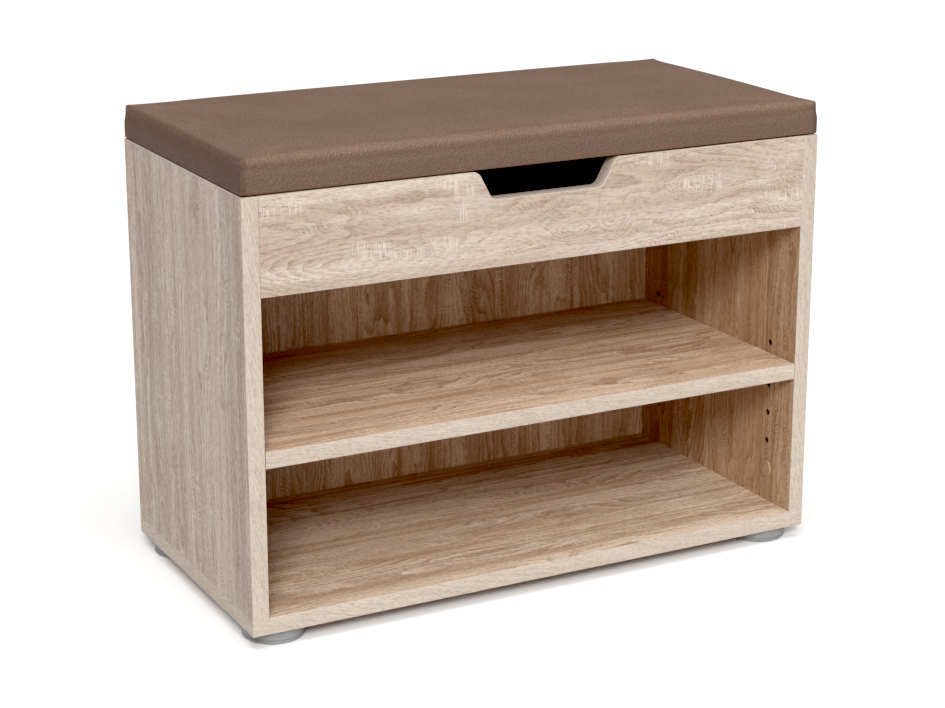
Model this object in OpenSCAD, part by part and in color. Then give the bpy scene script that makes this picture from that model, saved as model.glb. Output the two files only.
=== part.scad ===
/* [Carcass] */
// Width over the two sides
width = 600; // [480:10:900]
// Depth from the front edges to the back panel
depth = 296; // [240:2:400]
// Height from the underside of the bottom panel to the top of the sides
carcass_h = 403; // [340:1:520]
// Thickness of every coated chipboard panel
board_t = 16; // [13:0.5:22]
// Thickness of the glued edge bands
band_t = 0.8; // [0.4:0.1:2]
// Height of the front apron that closes the compartment
apron_h = 90; // [70:1:120]

/* [Grip cut-out] */
// Half the width of the cut-out along its floor
grip_half_w = 57.5; // [45:0.5:90]
// Depth of the cut-out below the apron's top edge
grip_depth = 27; // [22:1:40]
// Lean of the two flanks from upright, in degrees
grip_lean = 28; // [10:1:40]
// Radius of the four rounded corners
grip_r = 9; // [5:0.5:10]

/* [Shelf] */
// Height of the shelf's underside above the carcass underside
shelf_h = 157; // [120:1:200]
// Clearance between the shelf and each side
shelf_gap = 0.5; // [0.3:0.1:1.5]
// Clearance between the shelf and the back panel
shelf_back_gap = 1; // [0.5:0.5:5]
// Diameter of the shelf-pin holes
pin_hole_d = 6; // [5:0.5:7]
// Depth of the shelf-pin holes
pin_hole_depth = 10; // [8:0.5:11]
// Distance of the hole columns from the front and back edges
pin_inset = 43; // [35:1:70]
// Distance between spare hole rows
row_pitch = 30; // [20:1:32]
// Drop from the pins in use to the first spare row below
first_drop = 14; // [12:1:20]
// Number of spare rows below the shelf
rows_below = 3; // [1:1:3]

/* [Feet] */
// Diameter of the round plastic feet
foot_d = 58; // [40:1:64]
// Height of the feet
foot_h = 14; // [10:1:40]
// Distance of a foot's centre from the side and from the front or back
foot_inset = 33; // [33:1:80]
// Rounding of the foot's lower rim
foot_rim_r = 2.5; // [1:0.5:4]

/* [Lid] */
// Gap between the closed lid and the carcass
lid_gap = 1; // [0.8:0.1:3]
// How far the upholstered front stands behind the carcass front
lid_setback = 1; // [0:0.5:5]
// Thickness of the coated cover fabric
cover_t = 1; // [0.6:0.1:2]
// Thickness of the foam pad under the cover
foam_t = 18; // [14:1:60]
// Rounding of the cushion's upper edges
cushion_r = 10; // [4:1:14]
// Width of the cover that is folded under the lid board
return_w = 30; // [26:1:60]
// Distance between the staples that hold the folded cover
staple_pitch = 40; // [25:1:80]

/* [Hinges] */
// Distance of each hinge's middle from the bench's middle
hinge_x = 190; // [80:5:205]
// Length of a hinge along its pin
hinge_l = 50; // [40:1:80]
// Width of a hinge leaf from the back plane forward
leaf_w = 12; // [10:0.5:12]
// Thickness of a hinge leaf
leaf_t = 1.2; // [1:0.1:2]
// Radius of the hinge pin
hinge_pin_r = 1.2; // [0.8:0.1:1.5]
// Radius of the hinge barrel
barrel_r = 2.5; // [2.3:0.1:3]

/* [Joint hardware] */
// Diameter of a cam lock's pocket
cam_d = 15; // [12:0.5:16]
// Distance from a panel's end to the middle of its cam lock
cam_setback = 34; // [24:1:40]
// Distance of the side cams from the front and back edges
cam_inset = 43; // [35:1:70]
// Diameter of the wooden dowels
dowel_d = 8; // [6:1:8]
// Length of the wooden dowels
dowel_l = 30; // [25:1:40]

/* [Hidden] */
$fn = 48;

// Small gap between a fastener and the hole it is pressed or screwed into
snug = 0.05;
// Hairline between two edge bands that meet at a corner
seam = 0.05;
// Overshoot of a cut past the face it opens
over = 1;

// Carcass planes
x_out = width / 2;
x_in = x_out - board_t;
y_front = -depth / 2;
y_back = depth / 2;
z_under = foot_h;
z_sides = z_under + board_t;
z_top = z_under + carcass_h;
z_floor = z_top - apron_h;
z_shelf = z_under + shelf_h;
half_t = board_t / 2;

// Lid planes, from the folded cover up to the top of the cushion
z_lid = z_top + lid_gap;
z_lid_board = z_lid + cover_t;
z_foam = z_lid_board + board_t;
z_lid_top = z_foam + foam_t + cover_t;
y_lid_front = y_front + lid_setback;

// Hinge planes: the back panel stops low enough for both leaves to lie on it
leaf_gap = 0.6;
barrel_gap = 0.3;
z_back_top = z_lid - 2 * leaf_t - leaf_gap;
hinge_y = y_back + barrel_gap + barrel_r;
hinge_z = z_lid - leaf_t - leaf_gap / 2;
knuckles = 5;
knuckle_gap = 0.3;
knuckle_pitch = hinge_l / knuckles;
leaf_notch = 0.2;
screw_x_step = hinge_l / 3;
pin_head_r = hinge_pin_r + 0.8;
pin_head_t = 0.8;

// Shelf-pin rows, measured up from the floor
pin_flat = pin_hole_d / 2;
pin_collar_r = pin_flat + 1;
pin_reach = 9;
z_pins = z_shelf - pin_flat;
spare_rows = concat(
    [for (i = [0 : rows_below - 1]) z_pins - first_drop - i * row_pitch],
    [z_pins + row_pitch]
);
pin_ys = [y_front + pin_inset, y_back - pin_inset];

// Cam lock and cam bolt
cam_play = 0.1;
cam_sink = 0.3;
bolt_bore_r = 4;
bolt_shaft_r = 3.4;
bolt_neck_r = 2.3;
bolt_head_r = 3.2;
bolt_head_l = 3;
bolt_head_room = 1.3;
cam_depth = half_t + bolt_head_r + bolt_head_room;
thread_r = 3.1;
face_skin = 5;
face_bite = board_t - face_skin;
cross_l = 8;
cross_w = 1.8;
cross_depth = 2;
cap_r = 8.75;
cap_t = 1.2;

// Where the cam locks lie: each entry is the point on the panel's open face and
// the turn that points the pocket's mouth out of that face and the bolt at the
// panel it pulls on; each is repeated, mirrored, at the bench's other end
side_cams = [for (y = [y_front + cam_inset, y_back - cam_inset])
    [[-x_in, y, z_sides + cam_setback], [0, 90, 0]]];
apron_cams = [[[x_in - cam_setback, y_front + board_t, z_floor + apron_h / 2], [-90, 0, 0]]];
floor_cam_y = depth / 2 - board_t - 50;
floor_cams = [for (y = [-floor_cam_y, floor_cam_y])
    [[x_in - cam_setback, y, z_floor], [180, 0, 0]]];
back_cams = [for (z = [z_sides + 60, z_floor + board_t + 35])
    [[x_in - cam_setback, y_back, z], [-90, 0, 0]]];

// Where the dowels cross a joint: the point on the joint and the turn that
// points the dowel's short end into the panel whose face it enters
side_dowels = [for (y = [y_front + cam_inset + 32, y_back - cam_inset - 32])
    [[-x_out + half_t, y, z_sides], [0, 90, 0]]];
apron_dowels = [for (z = [z_floor + 20, z_top - 20])
    [[x_in, y_front + half_t, z], [0, 0, 0]]];
floor_dowels = [for (y = [-floor_cam_y - 32, floor_cam_y + 32])
    [[x_in, y, z_floor + half_t], [0, 0, 0]]];
back_dowels = [for (z = [z_sides + 28, z_shelf + 60, z_floor + board_t + 12])
    [[x_in, y_back - half_t, z], [0, 0, 0]]];

// Feet
foot_hole_r = 2.1;
foot_pocket_r = 7;
foot_web = 6;
foot_screw_r = 1.75;
foot_head_r = 4;
foot_head_t = 2.5;
foot_screw_skin = 3.5;
foot_lift = 0.2;

// Hinge screws
screw_r = 1.45;
screw_head_r = 2.8;
screw_l = 13;
screw_tip = 2.5;
recess_l = 3;
recess_w = 0.6;
recess_depth = 0.8;

// Lid trim
staple_edge = 22;
staple_w = 10;
staple_leg = 9;
wire = 0.6;
foam_play = 0.2;
lining_t = 0.5;
lining_gap = 1;
bumper_r = 4;
bumper_play = 0.1;
bumper_y = y_front + 18;

// A block between two opposite corners
module block(low, high) {
    translate(low) cube(high - low);
}

// The same shape at both ends of the bench
module both_ends() {
    children();
    mirror([1, 0, 0]) children();
}

// The same shape at every place in a list, and mirrored at the other end
module at_places(places) {
    for (place = places)
        both_ends() translate(place[0]) rotate(place[1]) children();
}

// The hole for one cam joint: pocket, bolt bore and the thread's bore beyond
module cam_cut() {
    translate([0, 0, -cam_depth]) cylinder(h = cam_depth + over, d = cam_d);
    translate([0, 0, -half_t]) rotate([0, 90, 0]) cylinder(h = cam_setback, r = bolt_bore_r);
    translate([cam_setback - snug, 0, -half_t]) rotate([0, 90, 0])
        cylinder(h = face_bite + snug, r = thread_r + snug);
}

// The hole for one dowel, long in the panel's end and short in the other's face
module dowel_cut() {
    translate([-(dowel_l - face_bite) - over, 0, 0]) rotate([0, 90, 0])
        cylinder(h = dowel_l + over, d = dowel_d + 2 * snug);
}

// One side panel, standing on the bottom panel at the bench's left end
module left_board() {
    difference() {
        block([-x_out, y_front + band_t, z_sides], [-x_in, y_back, z_top - band_t]);
        at_places(side_cams) cam_cut();
        at_places(apron_cams) cam_cut();
        at_places(floor_cams) cam_cut();
        at_places(back_cams) cam_cut();
        at_places(side_dowels) dowel_cut();
        at_places(apron_dowels) dowel_cut();
        at_places(floor_dowels) dowel_cut();
        at_places(back_dowels) dowel_cut();
        for (y = pin_ys)
            for (z = concat(spare_rows, [z_pins]))
                translate([-x_in - pin_hole_depth, y, z]) rotate([0, 90, 0])
                    cylinder(h = pin_hole_depth + over, d = pin_hole_d);
    }
}

module left_side() {
    color("tan") left_board();
}

module right_side() {
    color("tan") mirror([1, 0, 0]) left_board();
}

// Edge bands of the left side: down its front edge and along its top
module left_bands() {
    block([-x_out, y_front, z_sides], [-x_in, y_front + band_t, z_top]);
    block([-x_out, y_front + band_t + seam, z_top - band_t], [-x_in, y_back, z_top]);
}

module left_side_bands() {
    color("wheat") left_bands();
}

module right_side_bands() {
    color("wheat") mirror([1, 0, 0]) left_bands();
}

module bottom_panel() {
    color("tan") difference() {
        block([-x_out + band_t, y_front + band_t, z_under], [x_out - band_t, y_back, z_sides]);
        at_places(side_cams) cam_cut();
        at_places(side_dowels) dowel_cut();
        for (x = [-1, 1])
            for (y = [-1, 1])
                translate([x * (x_out - foot_inset), y * (y_back - foot_inset), z_under - over])
                    cylinder(h = board_t - foot_screw_skin + over, r = foot_screw_r + snug);
    }
}

// Front band over the full width, and one band on each end
module bottom_bands() {
    color("wheat") {
        block([-x_out, y_front, z_under], [x_out, y_front + band_t, z_sides]);
        both_ends()
            block([x_out - band_t, y_front + band_t + seam, z_under], [x_out, y_back, z_sides]);
    }
}

// Points along an arc about a centre, in equal steps
function arc(centre, r, from, to, steps = 10) =
    [for (i = [0 : steps]) let (a = from + (to - from) * i / steps)
        [centre[0] + r * cos(a), centre[1] + r * sin(a)]];

// Half of the cut-out's outline, right of the middle, with the apron's top edge
// at height 0 and the outline moved into the wood by grow
tangent = grip_r * tan((90 - grip_lean) / 2);
low_centre = [grip_half_w - tangent, -grip_depth + grip_r];
high_centre = [grip_half_w + grip_depth * tan(grip_lean) + tangent, -grip_r];
function grip_half(grow) = concat(
    arc(low_centre, grip_r + grow, -90, -grip_lean),
    arc(high_centre, grip_r - grow, 180 - grip_lean, 90),
    [[high_centre[0], over]]
);
function mirrored(points) =
    [for (i = [len(points) - 1 : -1 : 0]) [-points[i][0], points[i][1]]];
function grip_outline(grow) = concat(grip_half(grow), mirrored(grip_half(grow)));

// The apron's front view, drawn in from its edges by grow
module apron_face(grow) {
    difference() {
        translate([-x_in, -apron_h + grow]) square([2 * x_in, apron_h - 2 * grow]);
        polygon(grip_outline(grow));
    }
}

// Stands a front view up at the bench's front, as thick as the board
module stand_in_front() {
    translate([0, y_front + board_t, z_top]) rotate([90, 0, 0])
        linear_extrude(board_t) children();
}

module front_apron() {
    color("wheat") difference() {
        stand_in_front() apron_face(band_t);
        at_places(apron_cams) cam_cut();
        at_places(apron_dowels) dowel_cut();
    }
}

// One band follows the top edge through the cut-out, the other the lower edge
module apron_bands() {
    color("wheat") stand_in_front() difference() {
        apron_face(0);
        apron_face(band_t);
    }
}

module compartment_floor() {
    color("tan") difference() {
        block([-x_in, y_front + board_t, z_floor], [x_in, y_back - board_t, z_floor + board_t]);
        at_places(floor_cams) cam_cut();
        at_places(floor_dowels) dowel_cut();
    }
}

module back_panel() {
    color("tan") difference() {
        block([-x_in, y_back - board_t, z_sides], [x_in, y_back, z_back_top]);
        at_places(back_cams) cam_cut();
        at_places(back_dowels) dowel_cut();
        at_leaf_screws() translate([0, 0, z_back_top - screw_l])
            cylinder(h = screw_l + over, r = screw_r + snug);
    }
}

// The shelf and its front band lie loose on the four pins
shelf_x = x_in - shelf_gap;
module shelf() {
    color("tan") block(
        [-shelf_x, y_front + band_t, z_shelf],
        [shelf_x, y_back - board_t - shelf_back_gap, z_shelf + board_t]
    );
}

module shelf_band() {
    color("wheat") block(
        [-shelf_x, y_front, z_shelf],
        [shelf_x, y_front + band_t, z_shelf + board_t]
    );
}

// Cam: a disc with a cross for the screwdriver, a slot for the bolt's neck and
// a wider chamber that holds the bolt's head
module cam_lock() {
    cam_h = cam_depth - 2 * cam_sink;
    difference() {
        translate([0, 0, -cam_sink - cam_h]) cylinder(h = cam_h, d = cam_d - 2 * cam_play);
        for (turn = [0, 90])
            translate([0, 0, -cam_sink]) rotate([0, 0, turn])
                cube([cross_l, cross_w, 2 * cross_depth], center = true);
        translate([0, 0, -half_t]) rotate([0, 90, 0])
            cylinder(h = cam_d, r = bolt_neck_r + cam_play);
        translate([-bolt_head_l / 2 - cam_play, 0, -half_t]) rotate([0, 90, 0])
            cylinder(h = bolt_head_l + 2 * cam_play, r = bolt_head_r + cam_play);
    }
}

module cam_locks() {
    color("silver") {
        at_places(side_cams) cam_lock();
        at_places(apron_cams) cam_lock();
        at_places(floor_cams) cam_lock();
        at_places(back_cams) cam_lock();
    }
}

// Cam bolt: head in the cam, neck, shaft in the panel's end, thread in the face
module cam_bolt() {
    neck_l = cam_d / 2 - bolt_head_l / 2 + cam_play;
    profile = [
        [0, -bolt_head_l / 2], [bolt_head_r, -bolt_head_l / 2],
        [bolt_head_r, bolt_head_l / 2], [bolt_neck_r, bolt_head_l / 2],
        [bolt_neck_r, bolt_head_l / 2 + neck_l], [bolt_shaft_r, bolt_head_l / 2 + neck_l],
        [bolt_shaft_r, cam_setback - cam_play], [thread_r, cam_setback - cam_play],
        [thread_r, cam_setback + face_bite - thread_r / 2],
        [thread_r / 2, cam_setback + face_bite - cam_play],
        [0, cam_setback + face_bite - cam_play]
    ];
    translate([0, 0, -half_t]) rotate([0, 90, 0]) rotate_extrude() polygon(profile);
}

module cam_bolts() {
    color("gray") {
        at_places(side_cams) cam_bolt();
        at_places(apron_cams) cam_bolt();
        at_places(floor_cams) cam_bolt();
        at_places(back_cams) cam_bolt();
    }
}

// Cover cap: a thin disc on the panel with a cross that plugs into the cam
module cam_cover() {
    plug_l = cross_l - 2 * cam_play;
    plug_w = cross_w - 2 * cam_play;
    plug_depth = cross_depth + cam_sink - cam_play;
    cylinder(h = cap_t, r = cap_r);
    for (turn = [0, 90])
        rotate([0, 0, turn]) translate([-plug_l / 2, -plug_w / 2, -plug_depth])
            cube([plug_l, plug_w, plug_depth + cap_t / 2]);
}

module cam_covers() {
    color("burlywood") {
        at_places(side_cams) cam_cover();
        at_places(apron_cams) cam_cover();
        at_places(floor_cams) cam_cover();
    }
}

module dowel() {
    bevel = 1;
    r = dowel_d / 2;
    long_end = dowel_l - face_bite;
    profile = [
        [0, -long_end + snug], [r - bevel, -long_end + snug], [r, -long_end + bevel],
        [r, face_bite - snug - bevel], [r - bevel, face_bite - snug], [0, face_bite - snug]
    ];
    rotate([0, 90, 0]) rotate_extrude() polygon(profile);
}

module wooden_dowels() {
    color("bisque") {
        at_places(side_dowels) dowel();
        at_places(apron_dowels) dowel();
        at_places(floor_dowels) dowel();
        at_places(back_dowels) dowel();
    }
}

// Shelf pin: a peg in the wall, and a thicker end cut flat under the shelf
module shelf_pin() {
    rotate([0, 90, 0]) translate([0, 0, -pin_hole_depth + snug])
        cylinder(h = pin_hole_depth, d = pin_hole_d - 2 * snug);
    difference() {
        rotate([0, 90, 0]) cylinder(h = pin_reach, r = pin_collar_r);
        translate([-over, -pin_collar_r - over, pin_flat])
            cube([pin_reach + 2 * over, 2 * (pin_collar_r + over), pin_collar_r]);
    }
}

module shelf_pins() {
    color("silver") for (y = pin_ys)
        both_ends() translate([-x_in, y, z_pins]) shelf_pin();
}

// One foot under a corner; its rim is rounded and its screw sits in a pocket
module foot(side, end) {
    foot_r = foot_d / 2;
    translate([side * (x_out - foot_inset), end * (y_back - foot_inset), 0])
        color("slategray") rotate_extrude($fn = 96) difference() {
            union() {
                square([foot_r - foot_rim_r, foot_h]);
                translate([0, foot_rim_r]) square([foot_r, foot_h - foot_rim_r]);
                translate([foot_r - foot_rim_r, foot_rim_r]) intersection() {
                    circle(r = foot_rim_r);
                    translate([0, -foot_rim_r]) square(foot_rim_r);
                }
            }
            translate([-over, -over]) square([foot_hole_r + over, foot_h + 2 * over]);
            translate([-over, -over]) square([foot_pocket_r + over, foot_h - foot_web + over]);
        }
}

module foot_front_left() {
    foot(-1, -1);
}

module foot_front_right() {
    foot(1, -1);
}

module foot_back_left() {
    foot(-1, 1);
}

module foot_back_right() {
    foot(1, 1);
}

// Pan-head screws from the feet's pockets up into the bottom panel
module foot_screws() {
    seat_z = foot_h - foot_web;
    tip_z = z_sides - foot_screw_skin - foot_lift;
    profile = [
        [0, seat_z - foot_head_t], [foot_head_r - 1, seat_z - foot_head_t],
        [foot_head_r, seat_z - foot_head_t + 1], [foot_head_r, seat_z],
        [foot_screw_r, seat_z], [foot_screw_r, tip_z - screw_tip], [0, tip_z]
    ];
    color("silver") for (x = [-1, 1])
        for (y = [-1, 1])
            translate([x * (x_out - foot_inset), y * (y_back - foot_inset), 0])
                rotate_extrude() polygon(profile);
}

// The three screw places of each hinge, seen from above
module at_leaf_screws() {
    for (step = [-1, 0, 1])
        both_ends() translate([hinge_x + step * screw_x_step, y_back - half_t, 0]) children();
}

// The knuckles of one leaf: first is 0 or 1, and every second one is its own
module leaf_knuckles(first, z_plate) {
    for (i = [first : 2 : knuckles - 1]) {
        x0 = hinge_x - hinge_l / 2 + i * knuckle_pitch + knuckle_gap / 2;
        difference() {
            union() {
                translate([x0, hinge_y, hinge_z]) rotate([0, 90, 0])
                    cylinder(h = knuckle_pitch - knuckle_gap, r = barrel_r);
                block(
                    [x0, y_back - over, z_plate],
                    [x0 + knuckle_pitch - knuckle_gap, hinge_y, z_plate + leaf_t]
                );
            }
            translate([x0 - over, hinge_y, hinge_z]) rotate([0, 90, 0])
                cylinder(h = knuckle_pitch + 2 * over, r = hinge_pin_r + snug);
        }
    }
}

// A leaf's plate from the back plane forward
module leaf_plate(z_plate) {
    block(
        [hinge_x - hinge_l / 2, y_back - leaf_w, z_plate],
        [hinge_x + hinge_l / 2, y_back + barrel_gap - leaf_notch, z_plate + leaf_t]
    );
}

// Countersunk hole through a leaf, wide end up
module sink() {
    translate([0, 0, -over]) cylinder(h = leaf_t + 2 * over, r = screw_r + snug);
    cylinder(h = leaf_t, r1 = screw_r + snug, r2 = screw_head_r + snug);
    translate([0, 0, leaf_t]) cylinder(h = over, r = screw_head_r + snug);
}

// The fixed leaf lies on the back panel's top edge
module frame_leaf() {
    color("silver") {
        difference() {
            leaf_plate(z_back_top);
            at_leaf_screws() translate([0, 0, z_back_top]) sink();
        }
        leaf_knuckles(0, z_back_top);
    }
}

// The moving leaf lies under the lid
module lid_leaf() {
    z_plate = z_lid - leaf_t;
    color("silver") {
        difference() {
            leaf_plate(z_plate);
            at_leaf_screws() translate([0, 0, z_lid]) mirror([0, 0, 1]) sink();
        }
        leaf_knuckles(1, z_plate);
    }
}

module right_hinge_frame_leaf() {
    frame_leaf();
}

module left_hinge_frame_leaf() {
    mirror([1, 0, 0]) frame_leaf();
}

module right_hinge_lid_leaf() {
    lid_leaf();
}

module left_hinge_lid_leaf() {
    mirror([1, 0, 0]) lid_leaf();
}

// The pin runs through all the knuckles and is riveted over at both ends
module right_hinge_pin() {
    color("gray") translate([hinge_x, hinge_y, hinge_z]) rotate([0, 90, 0]) {
        cylinder(h = hinge_l, r = hinge_pin_r, center = true);
        for (end = [-1, 1])
            translate([0, 0, end * (hinge_l + pin_head_t) / 2])
                cylinder(h = pin_head_t, r = pin_head_r, center = true);
    }
}

module left_hinge_pin() {
    mirror([1, 0, 0]) right_hinge_pin();
}

// Countersunk wood screw hanging down from its head's top face at height 0
module wood_screw() {
    profile = [
        [0, -screw_l], [screw_r, -screw_l + screw_tip], [screw_r, -leaf_t],
        [screw_head_r, 0], [0, 0]
    ];
    difference() {
        rotate_extrude() polygon(profile);
        for (turn = [0, 90])
            rotate([0, 0, turn]) cube([recess_l, recess_w, 2 * recess_depth], center = true);
    }
}

module frame_leaf_screws() {
    color("gray") at_leaf_screws() translate([0, 0, z_back_top + leaf_t]) wood_screw();
}

module lid_leaf_screws() {
    color("gray") at_leaf_screws() translate([0, 0, z_lid - leaf_t]) mirror([0, 0, 1])
        wood_screw();
}

// Two soft dots on the sides' top edges carry the closed lid's front
module lid_bumpers() {
    color("gainsboro") both_ends() translate([x_out - half_t, bumper_y, z_top])
        cylinder(h = lid_gap - bumper_play, r = bumper_r);
}

// End view of the cushion: square below, its two upper corners rounded
module cushion_end(low, high, z_low, z_high, r) {
    translate([low, z_low]) square([high - low, z_high - z_low - r]);
    translate([low + r, z_low]) square([high - low - 2 * r, z_high - z_low]);
    for (c = [low + r, high - r])
        translate([c, z_high - r]) circle(r = r);
}

// The upholstered block, drawn in by inset: rounded along all four upper edges,
// with upright corners left sharp, as a folded cover is
module cushion(inset, z_low) {
    r = cushion_r - inset;
    intersection() {
        translate([0, y_back, 0]) rotate([90, 0, 0]) linear_extrude(y_back - y_lid_front)
            cushion_end(-x_out + inset, x_out - inset, z_low, z_lid_top - inset, r);
        translate([-x_out, 0, 0]) rotate([90, 0, 90]) linear_extrude(width)
            cushion_end(y_lid_front + inset, y_back - inset, z_low, z_lid_top - inset, r);
    }
}

module lid_board() {
    color("peru") difference() {
        block(
            [-x_out + cover_t, y_lid_front + cover_t, z_lid_board],
            [x_out - cover_t, y_back - cover_t, z_foam]
        );
        at_leaf_screws() translate([0, 0, z_lid_board - over])
            cylinder(h = screw_l - leaf_t - cover_t + over, r = screw_r + snug);
    }
}

module seat_foam() {
    color("khaki") intersection() {
        cushion(cover_t + foam_play, z_foam);
        block([-x_out, y_lid_front, z_foam], [x_out, y_back, z_lid_top]);
    }
}

// The cover wraps the foam and the board's edges and is folded under the board
module seat_cover() {
    color("dimgray") difference() {
        cushion(0, z_lid);
        cushion(cover_t, z_lid_board);
        block(
            [-x_out + return_w, y_lid_front + return_w, z_lid - over],
            [x_out - return_w, y_back - return_w, z_lid_board + over]
        );
        at_leaf_screws() translate([0, 0, z_lid - over])
            cylinder(h = cover_t + 2 * over, r = screw_r + snug);
    }
}

// Thin cloth that closes the board's underside inside the folded cover
module lid_lining() {
    edge = return_w + lining_gap;
    color("dimgray") block(
        [-x_out + edge, y_lid_front + edge, z_lid_board - lining_t],
        [x_out - edge, y_back - edge, z_lid_board]
    );
}

// One staple, its crown along X and its legs going up
module staple() {
    block([-staple_w / 2, -wire / 2, -wire], [staple_w / 2, wire / 2, 0]);
    for (end = [-1, 1])
        translate([end * (staple_w - wire) / 2, 0, staple_leg / 2])
            cube([wire, wire, staple_leg], center = true);
}

// Even steps between two ends, no further apart than the pitch
function spread(low, high, pitch) =
    let (n = ceil((high - low) / pitch)) [for (i = [0 : n]) low + (high - low) * i / n];

module cover_staples() {
    x_run = x_out - staple_edge;
    y_low = y_lid_front + staple_edge;
    y_high = y_back - staple_edge;
    corner = staple_w;
    color("silver") translate([0, 0, z_lid]) {
        for (y = [y_low, y_high])
            for (x = spread(-x_run + corner, x_run - corner, staple_pitch))
                translate([x, y, 0]) staple();
        for (x = [-x_run, x_run])
            for (y = spread(y_low + corner, y_high - corner, staple_pitch))
                translate([x, y, 0]) rotate([0, 0, 90]) staple();
    }
}

bottom_panel();
left_side();
right_side();
front_apron();
compartment_floor();
back_panel();
shelf();
bottom_bands();
left_side_bands();
right_side_bands();
apron_bands();
shelf_band();
cam_bolts();
cam_locks();
cam_covers();
wooden_dowels();
shelf_pins();
foot_front_left();
foot_front_right();
foot_back_left();
foot_back_right();
foot_screws();
left_hinge_frame_leaf();
right_hinge_frame_leaf();
left_hinge_lid_leaf();
right_hinge_lid_leaf();
left_hinge_pin();
right_hinge_pin();
frame_leaf_screws();
lid_leaf_screws();
lid_bumpers();
lid_board();
seat_foam();
seat_cover();
lid_lining();
cover_staples();
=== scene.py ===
import math

import bmesh
import bpy
import numpy as np
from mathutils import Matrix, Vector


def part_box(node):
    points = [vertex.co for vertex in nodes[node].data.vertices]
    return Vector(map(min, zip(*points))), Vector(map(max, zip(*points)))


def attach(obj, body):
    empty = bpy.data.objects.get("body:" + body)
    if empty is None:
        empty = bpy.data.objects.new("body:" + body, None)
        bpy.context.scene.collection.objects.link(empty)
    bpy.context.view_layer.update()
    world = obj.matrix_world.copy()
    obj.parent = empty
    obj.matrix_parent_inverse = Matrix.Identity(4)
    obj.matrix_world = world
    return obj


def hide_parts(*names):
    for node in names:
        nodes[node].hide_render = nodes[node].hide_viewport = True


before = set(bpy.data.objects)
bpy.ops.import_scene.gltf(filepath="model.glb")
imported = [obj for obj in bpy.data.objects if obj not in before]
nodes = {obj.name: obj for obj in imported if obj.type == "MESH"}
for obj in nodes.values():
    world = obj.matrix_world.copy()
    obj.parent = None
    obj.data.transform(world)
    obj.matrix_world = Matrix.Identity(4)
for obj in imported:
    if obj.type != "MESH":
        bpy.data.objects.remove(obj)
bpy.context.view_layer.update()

# ---------------------------------------------------------------- bottom panel
# The board that everything stands on: 16 mm chipboard with a printed oak decor pressed on both
# faces. Its front and both ends carry a glued edge band; the back edge is left raw.

mm = 0.001


def colour(red, green, blue):
    """A colour given in display levels, 0 to 255, as the linear values that the shaders take."""
    levels = np.array([red, green, blue]) / 255
    linear = np.where(levels < 0.04045, levels / 12.92, ((levels + 0.055) / 1.055) ** 2.4)
    return (*linear.tolist(), 1.0)


def add_node(tree, kind, inputs, **settings):
    """A shader node with its settings; each input is a plain value or the socket that feeds it."""
    node = tree.nodes.new("ShaderNode" + kind)
    for key, value in settings.items():
        setattr(node, key, value)
    for socket, value in inputs.items():
        if isinstance(value, bpy.types.NodeSocket):
            tree.links.new(value, node.inputs[socket])
        else:
            node.inputs[socket].default_value = value
    return node


def calc(tree, operation, *values):
    """The result of one sum on numbers and sockets."""
    return add_node(tree, "Math", dict(enumerate(values)), operation=operation).outputs[0]


def fade(tree, value, low, high, start=0.0, end=1.0):
    """Goes smoothly from start to end as the value rises from low to high."""
    inputs = {"Value": value, "From Min": low, "From Max": high, "To Min": start, "To Max": end}
    ramp = add_node(tree, "MapRange", inputs, interpolation_type="SMOOTHSTEP")
    return ramp.outputs["Result"]


def mixed(tree, share, first, second, how="MIX"):
    """Two colours mixed, share of the second."""
    inputs = {0: share, 6: first, 7: second}
    return add_node(tree, "Mix", inputs, data_type="RGBA", blend_type=how).outputs[2]


def cloudy(tree, place, lengths, detail=2.0, roughness=0.5):
    """A smooth random value about 0.5 that changes over the given lengths along the three axes."""
    stretch = [1 / length for length in lengths]
    spread = add_node(tree, "VectorMath", {0: place, 1: stretch}, operation="MULTIPLY").outputs[0]
    inputs = {"Vector": spread, "Scale": 1.0, "Detail": detail, "Roughness": roughness}
    return add_node(tree, "TexNoise", inputs).outputs["Fac"]


def new_material(name, **constants):
    """An empty node material with a Principled shader; constants are set on its own sockets."""
    material = bpy.data.materials.new(name)
    material.use_nodes = True
    tree = material.node_tree
    shader = tree.nodes["Principled BSDF"]
    for socket, value in constants.items():
        shader.inputs[socket.replace("_", " ")].default_value = value
    return material, tree, shader


def lay_along(tree, axes, shift):
    """Object coordinates with the grain's direction first, then across the face, then through
    the board, moved to the board's own place on the printed sheet."""
    place = add_node(tree, "TexCoord", {}).outputs["Object"]
    parts = add_node(tree, "SeparateXYZ", {0: place}).outputs
    turned = add_node(tree, "CombineXYZ", {i: parts["XYZ".index(axis)] for i, axis in enumerate(axes)})
    return add_node(tree, "VectorMath", {0: turned.outputs[0], 1: shift}, operation="ADD").outputs[0]


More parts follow.
